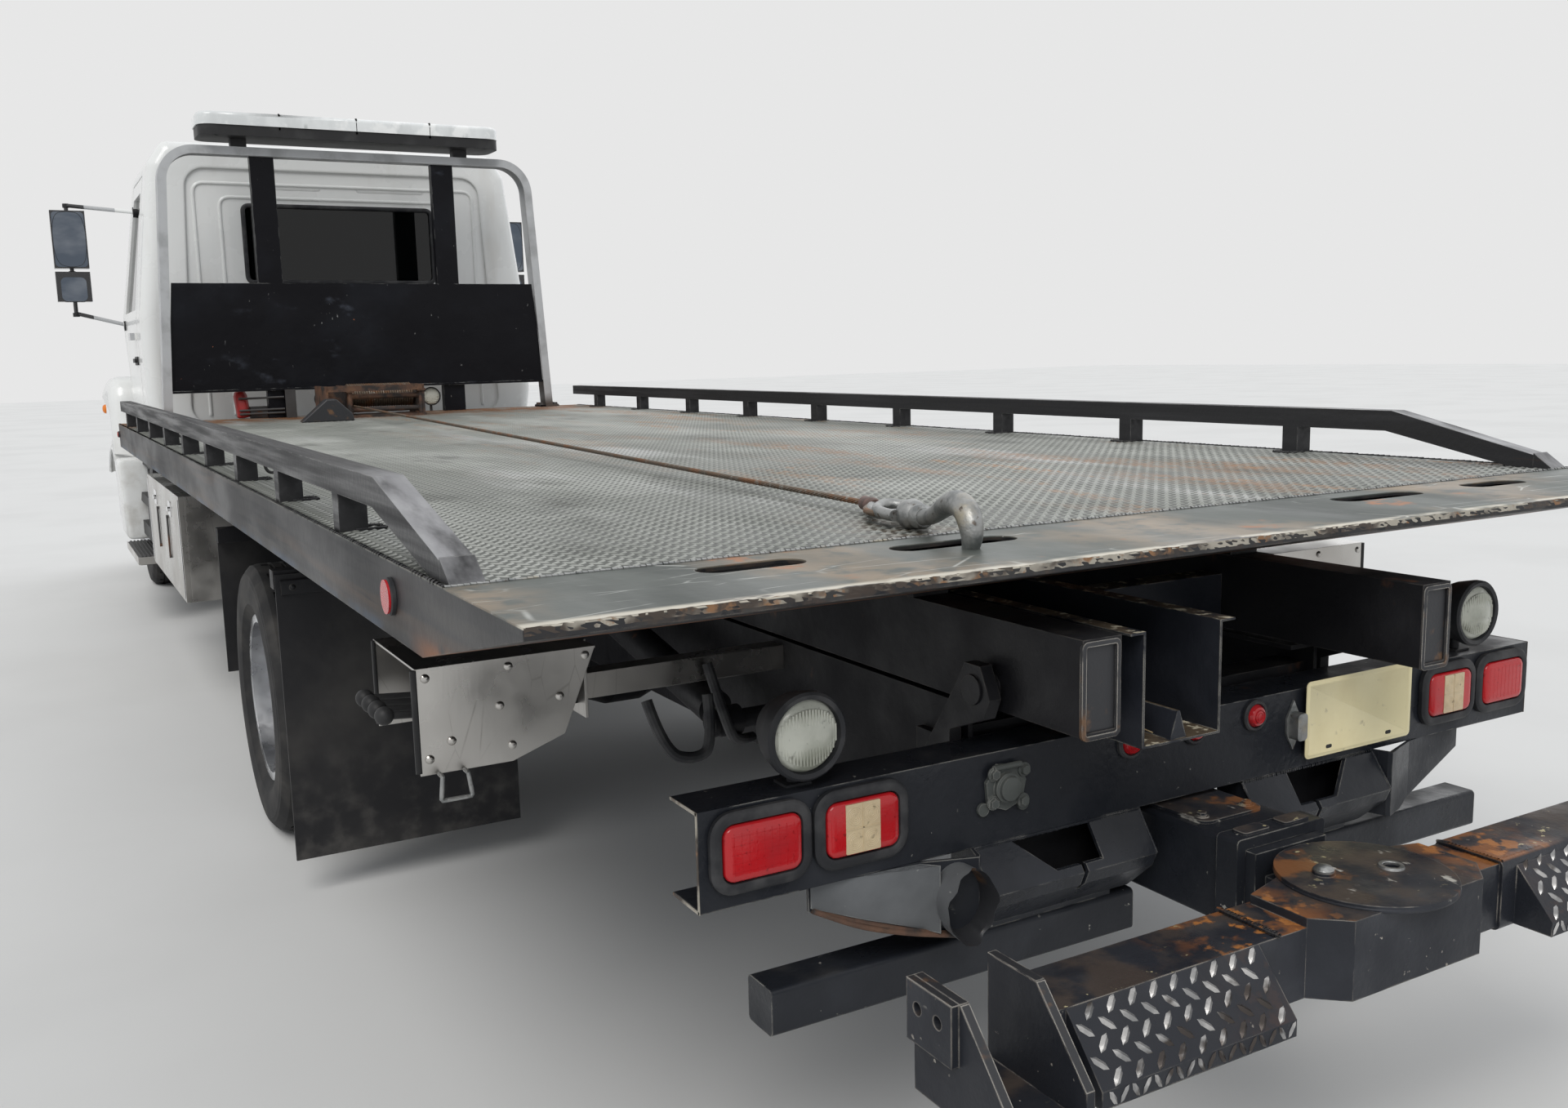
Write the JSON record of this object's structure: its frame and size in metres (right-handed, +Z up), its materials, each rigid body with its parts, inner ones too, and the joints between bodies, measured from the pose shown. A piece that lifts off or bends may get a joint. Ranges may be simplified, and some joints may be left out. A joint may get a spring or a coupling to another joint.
{
  "type": "rollback tow truck",
  "caption": "White day-cab rollback tow truck with a long tilting and sliding steel deck, low side guards, black headboard with hoop, winch and a folding wheel lift at the tail.",
  "frame": {"origin": "centre of the truck's length and width on the floor under the tyres", "axes": "+X the truck's right, +Y forward, +Z up"},
  "size_m": [2.96, 9.92, 2.7649],
  "materials": {
    "white_paint": "gloss",
    "black_paint": "satin",
    "frame_paint": "matte",
    "deck_steel": "matte",
    "rail_steel": "satin",
    "dark_steel": "matte",
    "stainless": "polished",
    "tank_aluminium": "satin",
    "rim_aluminium": "polished",
    "cast_metal": "matte",
    "wire_rope": "matte",
    "chrome": "polished",
    "tyre": "matte",
    "rubber": "matte",
    "black_plastic": "matte",
    "grey_plastic": "matte",
    "red_lens": "gloss",
    "beacon_lens": "gloss",
    "clear_lens": "gloss",
    "glass": "gloss"
  },
  "bodies": {
    "chassis": {"frame_rails": "frame_paint", "crossmembers": "frame_paint", "outriggers": "frame_paint", "powertrain": "cast_metal", "fuel_tank": "tank_aluminium", "exhaust": "dark_steel", "front_axle": "frame_paint", "rear_axle": "frame_paint", "leaf_springs": "frame_paint", "cab_shell": "white_paint", "cab_glass": "glass", "cab_interior": "grey_plastic", "cab_steps": "white_paint", "front_bumper": "chrome", "toolboxes": "stainless", "control_stations": "stainless", "control_levers": "black_plastic", "light_bar": "black_paint", "tail_lamps": "red_lens", "work_lamps": "black_plastic", "underride_bar": "frame_paint", "mud_flaps": "rubber"},
    "knuckle_left": {"knuckle_left": "frame_paint"},
    "knuckle_right": {"knuckle_right": "frame_paint"},
    "wheel_front_left": {"tyre_front_left": "tyre", "rim_front_left": "rim_aluminium"},
    "wheel_front_right": {"tyre_front_right": "tyre", "rim_front_right": "rim_aluminium"},
    "wheels_rear_left": {"tyres_rear_left": "tyre", "rims_rear_left": "rim_aluminium"},
    "wheels_rear_right": {"tyres_rear_right": "tyre", "rims_rear_right": "rim_aluminium"},
    "door_left": {"door_left": "white_paint", "door_glass_left": "glass"},
    "door_right": {"door_right": "white_paint", "door_glass_right": "glass"},
    "hood": {"hood": "white_paint", "grille": "black_plastic", "headlamps": "clear_lens"},
    "toolbox_door_left": {"toolbox_door_left": "stainless"},
    "toolbox_door_right": {"toolbox_door_right": "stainless"},
    "tilt_frame": {"subframe": "black_paint", "hose_trough": "black_paint"},
    "deck": {"deck": "deck_steel", "deck_sills": "frame_paint", "side_guards": "rail_steel", "headboard": "black_paint", "beacon_bar": "beacon_lens", "winch": "black_paint", "winch_line": "wire_rope", "deck_lamps": "red_lens"},
    "tilt_barrels": {"tilt_cylinder_barrels": "black_paint"},
    "tilt_rods": {"tilt_cylinder_rods": "chrome"},
    "boom": {"boom": "black_paint"},
    "stinger": {"stinger": "black_paint"},
    "crossbar": {"crossbar": "black_paint"},
    "lift_barrel": {"lift_cylinder_barrel": "black_paint"},
    "lift_rod": {"lift_cylinder_rod": "chrome"}
  },
  "joints": [
    {"name": "steer_left", "type": "hinge", "parent": "chassis", "child": "knuckle_left", "pos_m": [-0.86, 3.79, 0.419], "axis": [0, 0, 1], "range_deg": [-32, 32]},
    {"name": "steer_right", "type": "hinge", "parent": "chassis", "child": "knuckle_right", "pos_m": [0.86, 3.79, 0.419], "axis": [0, 0, 1], "range_deg": [-32, 32]},
    {"name": "spin_front_left", "type": "hinge", "parent": "knuckle_left", "child": "wheel_front_left", "pos_m": [-0.9625, 3.79, 0.419], "axis": [1, 0, 0], "continuous": true},
    {"name": "spin_front_right", "type": "hinge", "parent": "knuckle_right", "child": "wheel_front_right", "pos_m": [0.9625, 3.79, 0.419], "axis": [1, 0, 0], "continuous": true},
    {"name": "spin_rear_left", "type": "hinge", "parent": "chassis", "child": "wheels_rear_left", "pos_m": [-0.9465, -1.74, 0.419], "axis": [1, 0, 0], "continuous": true},
    {"name": "spin_rear_right", "type": "hinge", "parent": "chassis", "child": "wheels_rear_right", "pos_m": [0.9465, -1.74, 0.419], "axis": [1, 0, 0], "continuous": true},
    {"name": "door_left_hinge", "type": "hinge", "parent": "chassis", "child": "door_left", "pos_m": [-1.122, 3.408, 1.7], "axis": [0, 0, -1], "range_deg": [0, 65]},
    {"name": "door_right_hinge", "type": "hinge", "parent": "chassis", "child": "door_right", "pos_m": [1.122, 3.408, 1.7], "axis": [0, 0, 1], "range_deg": [0, 65]},
    {"name": "hood_hinge", "type": "hinge", "parent": "chassis", "child": "hood", "pos_m": [0, 4.9, 0.64], "axis": [-1, 0, 0], "range_deg": [0, 60]},
    {"name": "toolbox_left_hinge", "type": "hinge", "parent": "chassis", "child": "toolbox_door_left", "pos_m": [-1.2195, 0.715, 0.459], "axis": [0, -1, 0], "range_deg": [0, 110]},
    {"name": "toolbox_right_hinge", "type": "hinge", "parent": "chassis", "child": "toolbox_door_right", "pos_m": [1.2195, 0.715, 0.459], "axis": [0, 1, 0], "range_deg": [0, 110]},
    {"name": "bed_tilt", "type": "hinge", "parent": "chassis", "child": "tilt_frame", "pos_m": [0, -4.43, 0.905], "axis": [1, 0, 0], "range_deg": [0, 17]},
    {"name": "bed_slide", "type": "slide", "parent": "tilt_frame", "child": "deck", "axis": [0, -1, 0], "range_m": [0, 3.4]},
    {"name": "tilt_barrel_hinge", "type": "hinge", "parent": "chassis", "child": "tilt_barrels", "pos_m": [0, -3.71, 0.7], "axis": [1, 0, 0], "range_deg": [0, 24.6]},
    {"name": "tilt_rod_slide", "type": "slide", "parent": "tilt_barrels", "child": "tilt_rods", "axis": [0, 0.9813, 0.1923], "range_m": [0, 0.134]},
    {"name": "boom_hinge", "type": "hinge", "parent": "chassis", "child": "boom", "pos_m": [0, -3.21, 0.56], "axis": [-1, 0, 0], "range_deg": [-8, 0]},
    {"name": "stinger_slide", "type": "slide", "parent": "boom", "child": "stinger", "axis": [0, 1, 0], "range_m": [-1.2, 0]},
    {"name": "crossbar_swivel", "type": "hinge", "parent": "stinger", "child": "crossbar", "pos_m": [0, -4.822, 0.55], "axis": [0, 0, 1], "range_deg": [-15, 15]},
    {"name": "lift_barrel_hinge", "type": "hinge", "parent": "chassis", "child": "lift_barrel", "pos_m": [0, -2.51, 0.76], "axis": [-1, 0, 0], "range_deg": [-3.95, 0]},
    {"name": "lift_rod_slide", "type": "slide", "parent": "lift_barrel", "child": "lift_rod", "axis": [0, -0.9988, -0.0499], "range_m": [0, 0.0196]}
  ],
  "couplings": [
    {"joint": "tilt_barrel_hinge", "follows": "bed_tilt", "ratio": 1.4471},
    {"joint": "tilt_rod_slide", "follows": "bed_tilt", "m_per_rad": 0.45163},
    {"joint": "lift_barrel_hinge", "follows": "boom_hinge", "ratio": 0.494},
    {"joint": "lift_rod_slide", "follows": "boom_hinge", "m_per_rad": -0.14037}
  ]
}
